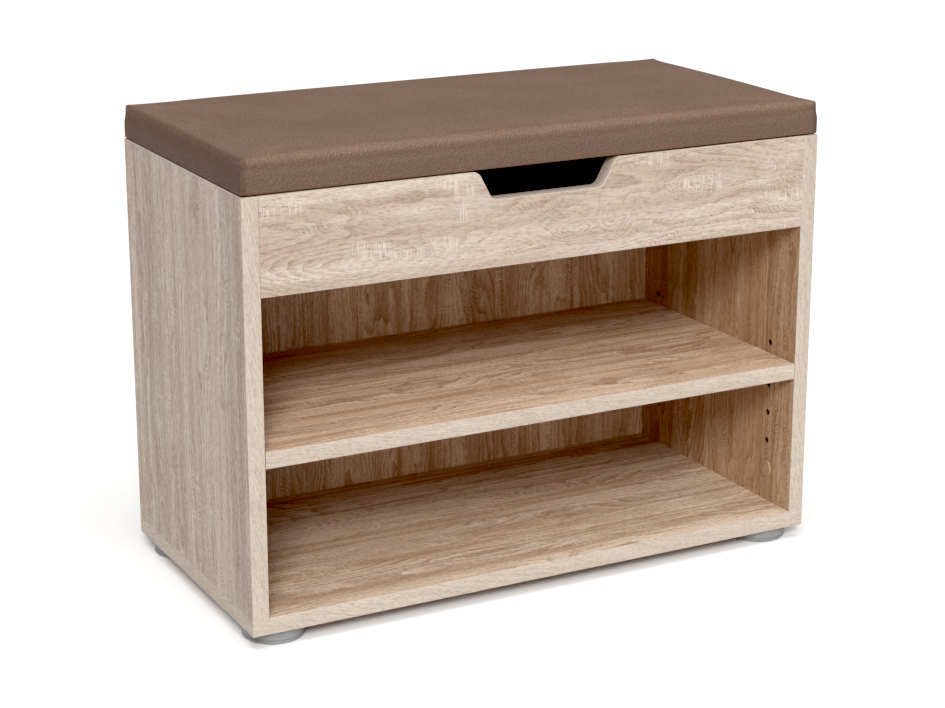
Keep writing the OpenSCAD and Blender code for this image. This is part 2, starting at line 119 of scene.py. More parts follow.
def ring_lines(tree, place, sheet, ring, hills):
    """Growth rings are the contour lines of a gentle landscape: a slope across the board, long
    random swells, and one long hill for each cathedral figure, given by its place along and
    across the board, its length, its width and its count of rings. Each ring darkens fast on one
    side and fades on the other, as the porous early wood does."""
    _, across, _ = add_node(tree, "SeparateXYZ", {0: place}).outputs
    on_board = add_node(tree, "SeparateXYZ", {0: sheet}).outputs
    swell = cloudy(tree, place, (260 * mm, 52 * mm, 52 * mm), 1.0)
    ripple = cloudy(tree, place, (30 * mm, 11 * mm, 11 * mm), 2.0)
    height = calc(tree, "MULTIPLY_ADD", across, 1 / ring, calc(tree, "MULTIPLY", swell, 13.0))
    height = calc(tree, "MULTIPLY_ADD", ripple, 1.5, height)
    for at_along, at_across, length, width, rings in hills:
        far_along = calc(tree, "DIVIDE", calc(tree, "SUBTRACT", on_board[0], at_along), length)
        far_across = calc(tree, "DIVIDE", calc(tree, "SUBTRACT", on_board[1], at_across), width)
        far = calc(tree, "ADD", calc(tree, "POWER", far_along, 2.0), calc(tree, "POWER", far_across, 2.0))
        hill = calc(tree, "EXPONENT", calc(tree, "MULTIPLY", far, -1.0))
        height = calc(tree, "MULTIPLY_ADD", hill, rings, height)
    late = calc(tree, "FRACT", height)
    return calc(tree, "POWER", calc(tree, "SUBTRACT", 1.0, late), 2.0)


def saw_marks(tree, place, patches):
    """Thin pale lines across the grain, as a coarse saw leaves them, crossed by fewer along it, in
    loose patches like coarse linen."""
    scratch = fade(tree, cloudy(tree, place, (1.2 * mm, 24 * mm, 24 * mm), 1.0), 0.52, 0.63)
    thread = fade(tree, cloudy(tree, place, (30 * mm, 1.2 * mm, 1.2 * mm), 1.0), 0.56, 0.66, 0.0, 0.7)
    loose = fade(tree, cloudy(tree, place, (52 * mm, 26 * mm, 26 * mm), 2.0), 0.54, 0.64)
    linen = calc(tree, "MAXIMUM", scratch, thread)
    return calc(tree, "MULTIPLY", linen, calc(tree, "MULTIPLY", loose, patches))


def ladder_marks(tree, place):
    """Short dark rungs that lean across the grain in narrow columns, where rays were cut through."""
    along, across, _ = add_node(tree, "SeparateXYZ", {0: place}).outputs
    wander = cloudy(tree, place, (14 * mm, 9 * mm, 9 * mm), 1.0)
    leaned = calc(tree, "MULTIPLY_ADD", across, 0.8, along)
    phase = calc(tree, "MULTIPLY_ADD", leaned, 2 * math.pi / (5.0 * mm), calc(tree, "MULTIPLY", wander, 16.0))
    rung = fade(tree, calc(tree, "SINE", phase), 0.1, 0.9)
    column = fade(tree, cloudy(tree, place, (70 * mm, 11 * mm, 11 * mm), 1.0), 0.62, 0.7)
    return calc(tree, "MULTIPLY", rung, column)


def chipboard_colour(tree, place):
    """Pressed wood chips: flat flakes of many tones with dark gaps between them."""
    stretch = [1 / (3.2 * mm), 1 / (1.8 * mm), 1 / (1.2 * mm)]
    spread = add_node(tree, "VectorMath", {0: place, 1: stretch}, operation="MULTIPLY").outputs[0]
    flakes = add_node(tree, "TexVoronoi", {"Vector": spread, "Scale": 1.0, "Randomness": 1.0})
    tone = add_node(tree, "SeparateColor", {0: flakes.outputs["Color"]}).outputs[0]
    chips = mixed(tree, tone, colour(168, 132, 94), colour(214, 184, 144))
    gap = fade(tree, flakes.outputs["Distance"], 0.35, 0.75)
    return mixed(tree, gap, chips, colour(120, 88, 60))


def oak_decor(name, axes, shift, tone=1.0, ring=7.5 * mm, hills=(), joint=0.0, planks=(63 * mm, 97 * mm),
              patches=0.8, slant=0.0, figure=1.0, core=None, inside=0, warmth=(1.1, 0.98, 0.87),
              bored=0.0):
    """Printed oak: planks of uneven width glued side by side, each with its own tone and its own stretch of
    rings, under soft streaks, fibres, pores, saw marks and ladder marks. Tone is how light the whole print
    is, and figure how strong its grain, each chosen for its board; the tone is raised on the boards in the
    bays as painted light. Core is the pair of planes of the board's two coated faces; between them, on raw
    edges and in holes, the chipboard shows. Inside says which of the two faces looks into the bench, and the
    tint argument is what that face's print is multiplied by, as painted warm bounce light of the bays.
    Bored is how far across the board the drilled holes lie; the chipboard on their walls is painted near
    black as painted shade."""
    material, tree, shader = new_material("oak_" + name)
    shader.inputs["Specular IOR Level"].default_value = 0.3
    sheet = lay_along(tree, axes, (0.0, 0.0, 0.0))
    _, across, through = add_node(tree, "SeparateXYZ", {0: sheet}).outputs
    from_joint = calc(tree, "SUBTRACT", across, joint)
    count = calc(tree, "FLOOR", calc(tree, "DIVIDE", from_joint, planks[0]))
    wide = calc(tree, "FLOOR", calc(tree, "DIVIDE", from_joint, planks[1]))
    own = add_node(tree, "TexWhiteNoise", {"W": calc(tree, "MULTIPLY_ADD", wide, 7.3, count)},
                   noise_dimensions="1D")
    step = add_node(tree, "VectorMath", {0: own.outputs["Color"], 1: (1.7, 0.9, 0.0)}, operation="MULTIPLY")
    moved = add_node(tree, "VectorMath", {0: step.outputs[0], 1: shift}, operation="ADD").outputs[0]
    place = add_node(tree, "VectorMath", {0: sheet, 1: moved}, operation="ADD").outputs[0]
    if slant:
        lean = add_node(tree, "VectorMath", {0: sheet, 1: (slant, 0.0, 0.0)}, operation="DOT_PRODUCT")
        aside = add_node(tree, "CombineXYZ", {1: lean.outputs["Value"]}).outputs[0]
        place = add_node(tree, "VectorMath", {0: place, 1: aside}, operation="ADD").outputs[0]

    rings = ring_lines(tree, place, sheet, ring, hills)
    strength = fade(tree, cloudy(tree, place, (150 * mm, 32 * mm, 32 * mm), 2.0), 0.36, 0.58, 0.3, 1.0)
    rings = calc(tree, "MULTIPLY", rings, strength)
    streak = fade(tree, cloudy(tree, place, (420 * mm, 20 * mm, 20 * mm), 3.0, 0.6), 0.36, 0.64)
    fibre = fade(tree, cloudy(tree, place, (16 * mm, 1.7 * mm, 1.7 * mm), 3.0, 0.75), 0.32, 0.68)
    pore_field = cloudy(tree, place, (4.5 * mm, 0.9 * mm, 0.9 * mm), 1.0)
    pores = calc(tree, "MULTIPLY", fade(tree, pore_field, 0.5, 0.6), fade(tree, rings, 0.0, 0.5, 0.6, 1.0))
    scratches = saw_marks(tree, place, patches)
    rungs = ladder_marks(tree, place)

    streak = calc(tree, "MULTIPLY", streak, min(figure, 1.0))
    face = mixed(tree, streak, colour(185, 174, 163), colour(165, 151, 138))
    bands = fade(tree, cloudy(tree, place, (330 * mm, 12 * mm, 12 * mm), 2.0), 0.5, 0.66)
    band_share = max(0.2 + 0.75 * (figure - 1), 0.0)
    face = mixed(tree, calc(tree, "MULTIPLY", bands, band_share), face, colour(136, 113, 93))
    face = mixed(tree, calc(tree, "MULTIPLY", fibre, 0.3), face, colour(148, 133, 118))
    face = mixed(tree, calc(tree, "MULTIPLY", rings, 0.5 * figure), face, colour(126, 105, 86))
    face = mixed(tree, calc(tree, "MULTIPLY", pores, 0.25 + 0.2 * figure), face, colour(115, 96, 79))
    face = mixed(tree, calc(tree, "MULTIPLY", rungs, 0.4 * figure), face, colour(114, 92, 74))
    face = mixed(tree, calc(tree, "MULTIPLY", scratches, 0.42), face, colour(199, 192, 182))
    plank_tone = fade(tree, own.outputs["Value"], 0.0, 1.0, 0.9 * tone, 1.05 * tone)
    grey = add_node(tree, "CombineColor", {0: plank_tone, 1: plank_tone, 2: plank_tone}).outputs[0]
    face = mixed(tree, 1.0, face, grey, "MULTIPLY")

    rough = calc(tree, "MULTIPLY_ADD", pores, 0.2, calc(tree, "MULTIPLY_ADD", fibre, 0.08, 0.46))
    relief = calc(tree, "MULTIPLY_ADD", pores, -0.8, calc(tree, "MULTIPLY", scratches, 0.5))
    relief = calc(tree, "MULTIPLY_ADD", fibre, -0.3, relief)
    if core:
        depth = calc(tree, "MINIMUM", calc(tree, "SUBTRACT", through, core[0]),
                     calc(tree, "SUBTRACT", core[1], through))
        raw = fade(tree, depth, 0.25 * mm, 0.4 * mm)
        middle = (core[0] + core[1]) / 2
        # painted light: the print on the face that looks into the bench is multiplied by a warm tint,
        # standing for the warm bounce light in the bays
        inner = fade(tree, calc(tree, "MULTIPLY", calc(tree, "SUBTRACT", through, middle), inside), 0.0, mm)
        warm = mixed(tree, 1.0, face, (*warmth, 1.0), "MULTIPLY")
        face = mixed(tree, inner, face, warm)
        chips = chipboard_colour(tree, sheet)
        # painted shade: the chipboard inside the drilled holes is mixed to near black
        if bored:
            hole_shade = fade(tree, across, bored, bored - mm, 0.0, 0.9)
            chips = mixed(tree, hole_shade, chips, colour(34, 22, 14))
        face = mixed(tree, raw, face, chips)
        rough = calc(tree, "MAXIMUM", rough, calc(tree, "MULTIPLY", raw, 0.92))
    bump = add_node(tree, "Bump", {"Height": relief, "Strength": 0.5, "Distance": 0.12 * mm})
    tree.links.new(face, shader.inputs["Base Color"])
    tree.links.new(rough, shader.inputs["Roughness"])
    tree.links.new(bump.outputs[0], shader.inputs["Normal"])
    return material


def finish_node(name, material):
    """Gives a CAD node its finish; its shape stays as it is."""
    slots = nodes[name].data.materials
    slots.clear()
    slots.append(material)


def coated_board(node, axes, shift, **look):
    """A CAD board with its decor, its two coated faces found from its own box."""
    low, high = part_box(node)
    through = "XYZ".index(axes[2])
    finish_node(node, oak_decor(node, axes, shift, core=(low[through], high[through]), **look))


bottom_hills = [(97 * mm, 22 * mm, 34 * mm, 11 * mm, 5.0), (-174 * mm, 36 * mm, 70 * mm, 22 * mm, 6.0)]
# Tone raised and the top face's print warmed, as painted light of the lower bay.
coated_board("bottom_panel", "XYZ", (0.31, 0.12, 0.0), tone=1.29, inside=1, warmth=(1.09, 1.02, 0.94),
             figure=1.6, hills=bottom_hills)


def grid_faces(rows, columns, wrap_rows=False, wrap_columns=False):
    """Quads between neighbouring points of a grid; a wrapped side joins its last line to its first."""
    row, column = np.meshgrid(
        np.arange(rows - (not wrap_rows)), np.arange(columns - (not wrap_columns)), indexing="ij"
    )
    below = (row + 1) % rows
    beside = (column + 1) % columns
    corners = [row * columns + column, below * columns + column, below * columns + beside,
               row * columns + beside]
    return np.stack(corners, axis=-1).reshape(-1, 4)


def add_piece(name, shapes, material, body, stands_for=(), closed=True, sharp=35):
    """One object of several shapes, each its points and faces. Doubled points are merged, a
    closed shape's faces are turned outwards, and only edges sharper than the angle stay crisp."""
    mesh = bpy.data.meshes.new(name)
    counts = np.cumsum([0] + [len(points) for points, _ in shapes])
    faces = [[int(i + start) for i in face] for (_, found), start in zip(shapes, counts) for face in found]
    mesh.from_pydata(np.vstack([points for points, _ in shapes]).tolist(), [], faces)
    work = bmesh.new()
    work.from_mesh(mesh)
    bmesh.ops.remove_doubles(work, verts=work.verts, dist=1e-6)
    if closed:
        bmesh.ops.recalc_face_normals(work, faces=work.faces)
    work.to_mesh(mesh)
    work.free()
    mesh.polygons.foreach_set("use_smooth", np.ones(len(mesh.polygons), bool))
    mesh.set_sharp_from_angle(angle=math.radians(sharp))
    mesh.materials.append(material)
    piece = bpy.data.objects.new(name, mesh)
    bpy.context.scene.collection.objects.link(piece)
    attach(piece, body)
    if stands_for:
        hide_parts(*stands_for)
    return piece


def edge_band(line, out, across, width, thickness=0.8 * mm, rounding=0.55 * mm):
    """A glued edge band: its flat section, with both outer edges rounded by a quarter circle, is
    carried along a line that follows the board's edge. Line is the outer face's one edge, out
    the way that face looks at each point, across the way to its other edge."""
    turn = np.linspace(0, np.pi / 2, 5)
    side = np.concatenate([[0.0], rounding * (1 - np.cos(turn)), width - rounding * (1 - np.sin(turn)),
                           [width]])
    sink = np.concatenate([[-thickness], rounding * (np.sin(turn) - 1), rounding * (np.cos(turn) - 1),
                           [-thickness]])
    line, out = np.asarray(line, float), np.asarray(out, float)
    points = line[:, None] + side[:, None] * np.asarray(across, float) + sink[:, None] * out[:, None]
    count = len(side)
    faces = grid_faces(len(line), count, wrap_columns=True).tolist()
    last = (len(line) - 1) * count
    faces += [list(range(count)), list(range(last + count - 1, last - 1, -1))]
    return points.reshape(-1, 3), faces


def straight_band(start, end, out, across, width):
    """An edge band along a straight edge."""
    return edge_band([start, end], [out, out], across, width)


board_low, board_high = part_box("bottom_panel")
bands_low, bands_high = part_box("bottom_bands")
board_t = board_high.z - board_low.z
band_t = board_low.y - bands_low.y
seam = 0.05 * mm
left_x, right_x, front_y, back_y = bands_low.x, bands_high.x, bands_low.y, bands_high.y
end_y = board_low.y + seam
edge_look = {"figure": 0.25, "patches": 0.15, "planks": (1.0, 1.0), "slant": 0.2, "tone": 0.91}
edge_oak = oak_decor("edge_along_x", "XZY", (0.7, 0.4, 0.2), **edge_look)
end_oak = oak_decor("edge_along_y", "YZX", (0.2, 0.6, 0.1), **edge_look)
front_band = straight_band((left_x, front_y, board_low.z), (right_x, front_y, board_low.z),
                           (0, -1, 0), (0, 0, 1), board_t)
end_bands = [
    straight_band((x, end_y, board_low.z), (x, back_y, board_low.z), (side, 0, 0), (0, 0, 1), board_t)
    for x, side in ((left_x, -1), (right_x, 1))
]
add_piece("bottom_front_band", [front_band], edge_oak, "carcass", ["bottom_bands"])
add_piece("bottom_end_bands", end_bands, end_oak, "carcass", ["bottom_bands"])

# ------------------------------------------------------------------------ feet
# Four round glides of grey moulded plastic, each held by one pan-head screw that goes up through
# its pocket into the bottom panel. The lower rim has a thin groove above a rounded lip.


def turned(section, centre, axis=(0, 0, 1), steps=64, closed_section=False):
    """A section of radius and height turned about an axis through the centre."""
    axis = np.array(axis, float)
    aside = np.cross(axis, (0.0, 1.0, 0.0) if abs(axis[1]) < 0.9 else (1.0, 0.0, 0.0))
    aside = aside / np.linalg.norm(aside)
    beside = np.cross(axis, aside)
    angle = np.arange(steps) * 2 * np.pi / steps
    radius, height = np.array(section, float).T
    spoke = np.cos(angle)[:, None] * aside + np.sin(angle)[:, None] * beside
    points = np.asarray(centre, float) + radius[:, None, None] * spoke + height[:, None, None] * axis
    faces = grid_faces(len(radius), steps, wrap_rows=closed_section, wrap_columns=True)
    return points.reshape(-1, 3), faces


def rounded(corners, radii, steps=5):
    """A closed outline whose corners are replaced by arcs that touch both sides."""
    corners = np.array(corners, float)
    points = []
    for i, radius in enumerate(radii):
        here, before, after = corners[i], corners[i - 1], corners[(i + 1) % len(corners)]
        back = (before - here) / np.linalg.norm(before - here)
        on = (after - here) / np.linalg.norm(after - here)
        if not radius:
            points.append(here)
            continue
        half = math.acos(np.clip(back @ on, -1, 1)) / 2
        middle = here + (back + on) / np.linalg.norm(back + on) * radius / math.sin(half)
        share = np.linspace(0, 1, steps)[:, None]
        ray = (here + back * radius / math.tan(half) - middle) * (1 - share)
        ray = ray + (here + on * radius / math.tan(half) - middle) * share
        points.extend(middle + ray / np.linalg.norm(ray, axis=1)[:, None] * radius)
    return np.array(points)


plastic, tree, shader = new_material("foot_plastic", Specular_IOR_Level=0.45)
place = add_node(tree, "TexCoord", {}).outputs["Object"]
speckle = cloudy(tree, place, (0.5 * mm, 0.5 * mm, 0.5 * mm), 2.0)
flow = cloudy(tree, place, (18 * mm, 18 * mm, 6 * mm), 2.0)
grey = mixed(tree, fade(tree, flow, 0.3, 0.7), colour(114, 117, 118), colour(128, 130, 131))
height = add_node(tree, "SeparateXYZ", {0: place}).outputs[2]
scuffed = calc(tree, "MULTIPLY", fade(tree, height, 3.0 * mm, 0.3 * mm), fade(tree, speckle, 0.4, 0.65))
grey = mixed(tree, calc(tree, "MULTIPLY", scuffed, 0.3), grey, colour(146, 149, 150))
tree.links.new(grey, shader.inputs["Base Color"])
tree.links.new(fade(tree, speckle, 0.3, 0.7, 0.38, 0.55), shader.inputs["Roughness"])
bump = add_node(tree, "Bump", {"Height": speckle, "Strength": 0.25, "Distance": 0.08 * mm})
tree.links.new(bump.outputs[0], shader.inputs["Normal"])

screw_hole_r, pocket_r, pocket_h = 2.1 * mm, 7 * mm, 8 * mm
groove, lip_z = 0.9 * mm, 2.9 * mm
for name in ("foot_front_left", "foot_front_right", "foot_back_left", "foot_back_right"):
    foot_low, foot_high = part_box(name)
    foot_r = (foot_high.x - foot_low.x) / 2
    foot_h = foot_high.z - foot_low.z
    outline = [(screw_hole_r, foot_h), (foot_r - groove, foot_h), (foot_r - 0.2 * mm, lip_z + 1.2 * mm),
               (foot_r - groove, lip_z + 0.8 * mm), (foot_r - groove, lip_z + 0.3 * mm), (foot_r, lip_z),
               (foot_r, 0.0), (pocket_r + 0.6 * mm, 0.0), (pocket_r, 0.6 * mm), (pocket_r, pocket_h),
               (screw_hole_r, pocket_h)]
    radii = [0, 1.2 * mm, 0.4 * mm, 0.15 * mm, 0.15 * mm, 0.4 * mm, 2.2 * mm, 0.3 * mm, 0.3 * mm, 0, 0]
    centre = ((foot_low.x + foot_high.x) / 2, (foot_low.y + foot_high.y) / 2, foot_low.z)
    shape = turned(rounded(outline, radii), centre, steps=96, closed_section=True)
    add_piece(name + "_glide", [shape], plastic, "carcass", [name])


def plated_steel(name, bright, dark, rough):
    """Zinc-plated steel: cool crystals of two tones, slightly rougher where they are darker."""
    metal, tree, shader = new_material(name, Metallic=1.0)
    place = add_node(tree, "TexCoord", {}).outputs["Object"]
    spread = add_node(tree, "VectorMath", {0: place, 1: [1 / (2.5 * mm)] * 3}, operation="MULTIPLY")
    crystals = add_node(tree, "TexVoronoi", {"Vector": spread.outputs[0], "Scale": 1.0})
    tone = add_node(tree, "SeparateColor", {0: crystals.outputs["Color"]}).outputs[0]
    film = cloudy(tree, place, (9 * mm, 9 * mm, 9 * mm), 3.0)
    share = calc(tree, "MULTIPLY_ADD", tone, 0.35, calc(tree, "MULTIPLY", film, 0.65))
    tree.links.new(mixed(tree, fade(tree, share, 0.25, 0.75), dark, bright), shader.inputs["Base Color"])
    tree.links.new(fade(tree, share, 0.2, 0.8, rough + 0.14, rough - 0.05), shader.inputs["Roughness"])
    scratches = cloudy(tree, place, (6 * mm, 0.3 * mm, 0.3 * mm), 2.0)
    bump = add_node(tree, "Bump", {"Height": scratches, "Strength": 0.2, "Distance": 0.03 * mm})
    tree.links.new(bump.outputs[0], shader.inputs["Normal"])
    return metal


zinc_steel = plated_steel("zinc_steel", colour(198, 200, 204), colour(158, 160, 162), 0.32)
finish_node("foot_screws", zinc_steel)

# ----------------------------------------------------------------------- sides
# Two upright boards that stand on the bottom panel, grain upright. The front edge and the top
# edge are banded; the back edge is raw chipboard. Inside are the blind shelf-pin holes.

bored_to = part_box("left_side")[1].y - 2 * mm
left_hills = [(356 * mm, 29 * mm, 95 * mm, 8 * mm, 4.0)]
right_hills = [(228 * mm, -48 * mm, 60 * mm, 10 * mm, 4.0), (101 * mm, -57 * mm, 50 * mm, 9 * mm, 3.0)]
# The faces that look into the bench get a warmed print as painted bounce light, the right side's warmer
# still.
coated_board("left_side", "ZYX", (0.05, 0.33, 0.0), tone=0.97, inside=1, bored=bored_to, hills=left_hills)
coated_board("right_side", "ZYX", (0.92, 0.71, 0.0), tone=1.02, inside=-1, warmth=(1.12, 0.93, 0.75),
             bored=bored_to, figure=1.45, hills=right_hills)
upright_oak = oak_decor("edge_along_z", "ZXY", (0.45, 0.15, 0.6), **edge_look)

for side, name in ((-1, "left_side"), (1, "right_side")):
    side_low, side_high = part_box(name + "_bands")
    front = straight_band((side_low.x, side_low.y, side_low.z), (side_low.x, side_low.y, side_high.z),
                          (0, -1, 0), (1, 0, 0), board_t)
    top_y = side_low.y + band_t + seam
    top = straight_band((side_low.x, top_y, side_high.z), (side_low.x, side_high.y, side_high.z),
                        (0, 0, 1), (1, 0, 0), board_t)
    add_piece(name + "_front_band", [front], upright_oak, "carcass", [name + "_bands"])
    add_piece(name + "_top_band", [top], end_oak, "carcass", [name + "_bands"])

# ----------------------------------------------------------------------- shelf
# One loose board on four steel pins. It is banded only at the front, and a person can move it to
# other holes, with a small gap at both sides and at the back.

finish_node("shelf_pins", zinc_steel)
shelf_hills = [(80 * mm, 33 * mm, 60 * mm, 10 * mm, 4.0), (228 * mm, 52 * mm, 40 * mm, 9 * mm, 3.0),
               (-150 * mm, -60 * mm, 120 * mm, 16 * mm, 4.0)]
# Tone raised and the top face's print warmed, as painted light of the bays.
coated_board("shelf", "XYZ", (0.64, 0.52, 0.0), tone=1.34, inside=1, figure=1.6, hills=shelf_hills)
shelf_low, shelf_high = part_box("shelf_band")
shelf_front = straight_band((shelf_low.x, shelf_low.y, shelf_low.z), (shelf_high.x, shelf_low.y, shelf_low.z),
                            (0, -1, 0), (0, 0, 1), board_t)
add_piece("shelf_front_band", [shelf_front], edge_oak, "carcass", ["shelf_band"])

# ------------------------------------------- back panel and compartment floor
# Two boards between the sides: the back with upright grain, and the floor of the compartment
# under the lid. The back's top edge is raw and a little lower, because the hinges lie on it.

back_hills = [(205 * mm, 139 * mm, 60 * mm, 18 * mm, 5.0), (40 * mm, -31 * mm, 45 * mm, 15 * mm, 5.0),
              (235 * mm, -60 * mm, 80 * mm, 15 * mm, 4.0)]
# Tone raised and the front face's print warmed, as painted light of the upper bay.
coated_board("back_panel", "ZXY", (0.27, 0.44, 0.0), tone=1.2, inside=-1, figure=1.5, hills=back_hills)
coated_board("compartment_floor", "XYZ", (0.15, 0.83, 0.0))

# ----------------------------------------------------------------- front apron
# The board that closes the compartment at the front, grain along the bench. A grip is routed out
# of its top edge, and one band runs down through it; a second band closes the lower edge.

apron_low, apron_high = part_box("apron_bands")
joint_z = apron_low.z + 11 * mm
apron_hills = [(-195 * mm, 342 * mm, 105 * mm, 24 * mm, 10.0), (30 * mm, 353 * mm, 22 * mm, 9 * mm, 5.0),
               (68 * mm, 358 * mm, 15 * mm, 17 * mm, 5.0), (-38 * mm, 344 * mm, 22 * mm, 5 * mm, 2.0)]
coated_board("front_apron", "XZY", (0.0, 0.0, 0.0), joint=joint_z, planks=(1.0, 1.0), patches=1.0,
             hills=apron_hills)

grip_half, grip_depth, grip_lean, grip_r = 57.5 * mm, 27 * mm, math.radians(28), 9 * mm


def grip_line(steps=10):
    """The apron's top edge from left to right: straight, down a leaning flank into the grip, along
    its floor and up again, every bend an arc of the same radius. Gives points and outward ways."""
    tangent = grip_r * math.tan((math.pi / 2 - grip_lean) / 2)
    low_centre = np.array([grip_half - tangent, -grip_depth + grip_r])
    high_centre = np.array([grip_half + grip_depth * math.tan(grip_lean) + tangent, -grip_r])
    turn = np.linspace(-math.pi / 2, -grip_lean, steps)
    low = low_centre + grip_r * np.stack([np.cos(turn), np.sin(turn)], axis=1)
    low_out = -np.stack([np.cos(turn), np.sin(turn)], axis=1)
    turn = np.linspace(math.pi - grip_lean, math.pi / 2, steps)
    high = high_centre + grip_r * np.stack([np.cos(turn), np.sin(turn)], axis=1)
    high_out = np.stack([np.cos(turn), np.sin(turn)], axis=1)
    end = np.array([[apron_high.x, 0.0]])
    right = np.vstack([low, high, end])
    right_out = np.vstack([low_out, high_out, [[0.0, 1.0]]])
    line = np.vstack([right[::-1] * (-1, 1), right])
    out = np.vstack([right_out[::-1] * (-1, 1), right_out])
    flat = np.zeros(len(line))
    return (np.stack([line[:, 0], flat + apron_low.y, line[:, 1] + apron_high.z], axis=1),
            np.stack([out[:, 0], flat, out[:, 1]], axis=1))


top_line, top_out = grip_line()
grip_band = edge_band(top_line, top_out, (0, 1, 0), board_t)
lower_band = straight_band((apron_low.x, apron_low.y, apron_low.z), (apron_high.x, apron_low.y, apron_low.z),
                           (0, 0, -1), (0, 1, 0), board_t)
band_oak = oak_decor("edge_apron", "XYZ", (0.35, 0.25, 0.5), **edge_look)
add_piece("apron_top_band", [grip_band], band_oak, "carcass", ["apron_bands"])
add_piece("apron_lower_band", [lower_band], band_oak, "carcass", ["apron_bands"])

# ---------------------------------------------------------- joints of the case
# Every corner has turned beech dowels and a steel bolt that a cast cam draws tight. Plastic caps
# hide the cams that show from inside; those on the back panel's rear stay bare.

cast_zinc = plated_steel("cast_zinc", colour(176, 177, 178), colour(128, 129, 130), 0.5)
finish_node("cam_locks", cast_zinc)
finish_node("cam_bolts", zinc_steel)

beech, tree, shader = new_material("beech", Specular_IOR_Level=0.3)
place = add_node(tree, "TexCoord", {}).outputs["Object"]
flecks = fade(tree, cloudy(tree, place, (2.4 * mm, 0.35 * mm, 0.35 * mm), 2.0), 0.55, 0.7)
tone = cloudy(tree, place, (30 * mm, 3 * mm, 3 * mm), 3.0)
wood = mixed(tree, fade(tree, tone, 0.3, 0.7), colour(216, 178, 134), colour(196, 154, 110))
wood = mixed(tree, calc(tree, "MULTIPLY", flecks, 0.5), wood, colour(150, 106, 70))
tree.links.new(wood, shader.inputs["Base Color"])
tree.links.new(fade(tree, tone, 0.3, 0.7, 0.6, 0.75), shader.inputs["Roughness"])
bump = add_node(tree, "Bump", {"Height": tone, "Strength": 0.3, "Distance": 0.1 * mm})
tree.links.new(bump.outputs[0], shader.inputs["Normal"])
finish_node("wooden_dowels", beech)

cap_plastic, tree, shader = new_material("cap_plastic", Specular_IOR_Level=0.4)
place = add_node(tree, "TexCoord", {}).outputs["Object"]
grain = cloudy(tree, place, (0.4 * mm, 0.4 * mm, 0.4 * mm), 2.0)
cloud = cloudy(tree, place, (9 * mm, 9 * mm, 9 * mm), 2.0)
beige = mixed(tree, fade(tree, cloud, 0.3, 0.7), colour(162, 139, 114), colour(152, 129, 105))
beige = mixed(tree, fade(tree, grain, 0.55, 0.75, 0.0, 0.35), beige, colour(142, 119, 97))
tree.links.new(beige, shader.inputs["Base Color"])
tree.links.new(fade(tree, grain, 0.3, 0.7, 0.4, 0.52), shader.inputs["Roughness"])
bump = add_node(tree, "Bump", {"Height": grain, "Strength": 0.3, "Distance": 0.06 * mm})
tree.links.new(bump.outputs[0], shader.inputs["Normal"])

cap_r, cap_t = 8.75 * mm, 1.2 * mm
inner_x = shelf_high.x + 0.5 * mm
side_cam_y, side_cam_z = 105 * mm, 64 * mm
high_cam_x, apron_cam_z, floor_cam_y = 250 * mm, 372 * mm, 82 * mm
floor_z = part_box("compartment_floor")[0].z
cap_section = [(0.0, 0.0), (cap_r, 0.0), (cap_r, 0.45 * mm), (cap_r - 0.2 * mm, 0.85 * mm),
               (cap_r - 0.65 * mm, 1.08 * mm), (cap_r - 1.2 * mm, 1.1 * mm),
               (cap_r - 1.5 * mm, 0.95 * mm), (cap_r - 1.9 * mm, 1.0 * mm),
               (cap_r - 3.5 * mm, 1.12 * mm), (0.0, cap_t)]
cap_places = [((side * inner_x, end * side_cam_y, side_cam_z), (-side, 0, 0))
              for side in (-1, 1) for end in (-1, 1)]
cap_places += [((side * high_cam_x, apron_high.y, apron_cam_z), (0, 1, 0)) for side in (-1, 1)]
cap_places += [((side * high_cam_x, end * floor_cam_y, floor_z), (0, 0, -1))
               for side in (-1, 1) for end in (-1, 1)]
caps = [turned(cap_section, centre, axis, steps=40) for centre, axis in cap_places]
add_piece("cam_lock_caps", caps, cap_plastic, "carcass", ["cam_covers"], sharp=50)

# --------------------------------------------------------------------- hinges
# Two butt hinges of pressed steel behind the bench: one leaf on the back panel's top edge, one
# under the lid, five knuckles round a headed pin, and three countersunk screws in each leaf.

hinge_steel = plated_steel("hinge_steel", colour(190, 190, 188), colour(146, 146, 146), 0.36)
for side in ("left", "right"):
    finish_node(side + "_hinge_frame_leaf", hinge_steel)
    finish_node(side + "_hinge_lid_leaf", hinge_steel)
    finish_node(side + "_hinge_pin", zinc_steel)
finish_node("frame_leaf_screws", zinc_steel)
finish_node("lid_leaf_screws", zinc_steel)

# ----------------------------------------------------------- seat: board, foam
# The lid is a raw 16 mm chipboard with an 18 mm foam pad on it. The cover is drawn tight over
# both, so the foam's upper edges are pressed round and its corners are pulled down a little.

chipboard, tree, shader = new_material("raw_chipboard", Specular_IOR_Level=0.2)
place = add_node(tree, "TexCoord", {}).outputs["Object"]
tree.links.new(chipboard_colour(tree, place), shader.inputs["Base Color"])
dust = cloudy(tree, place, (1.2 * mm, 1.2 * mm, 0.8 * mm), 3.0)
tree.links.new(fade(tree, dust, 0.3, 0.7, 0.8, 0.95), shader.inputs["Roughness"])
bump = add_node(tree, "Bump", {"Height": dust, "Strength": 0.5, "Distance": 0.3 * mm})
tree.links.new(bump.outputs[0], shader.inputs["Normal"])
finish_node("lid_board", chipboard)

cover_low, cover_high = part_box("seat_cover")
half_x, half_y = (cover_high.x - cover_low.x) / 2, (cover_high.y - cover_low.y) / 2
middle_y = (cover_high.y + cover_low.y) / 2
foam_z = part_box("seat_foam")[0].z
roll_r, corner_roll_r, lower_r, corner_r = 10 * mm, 2.5 * mm, 1.2 * mm, 1.2 * mm
return_w = 30 * mm
slack_top = 1.7 * mm


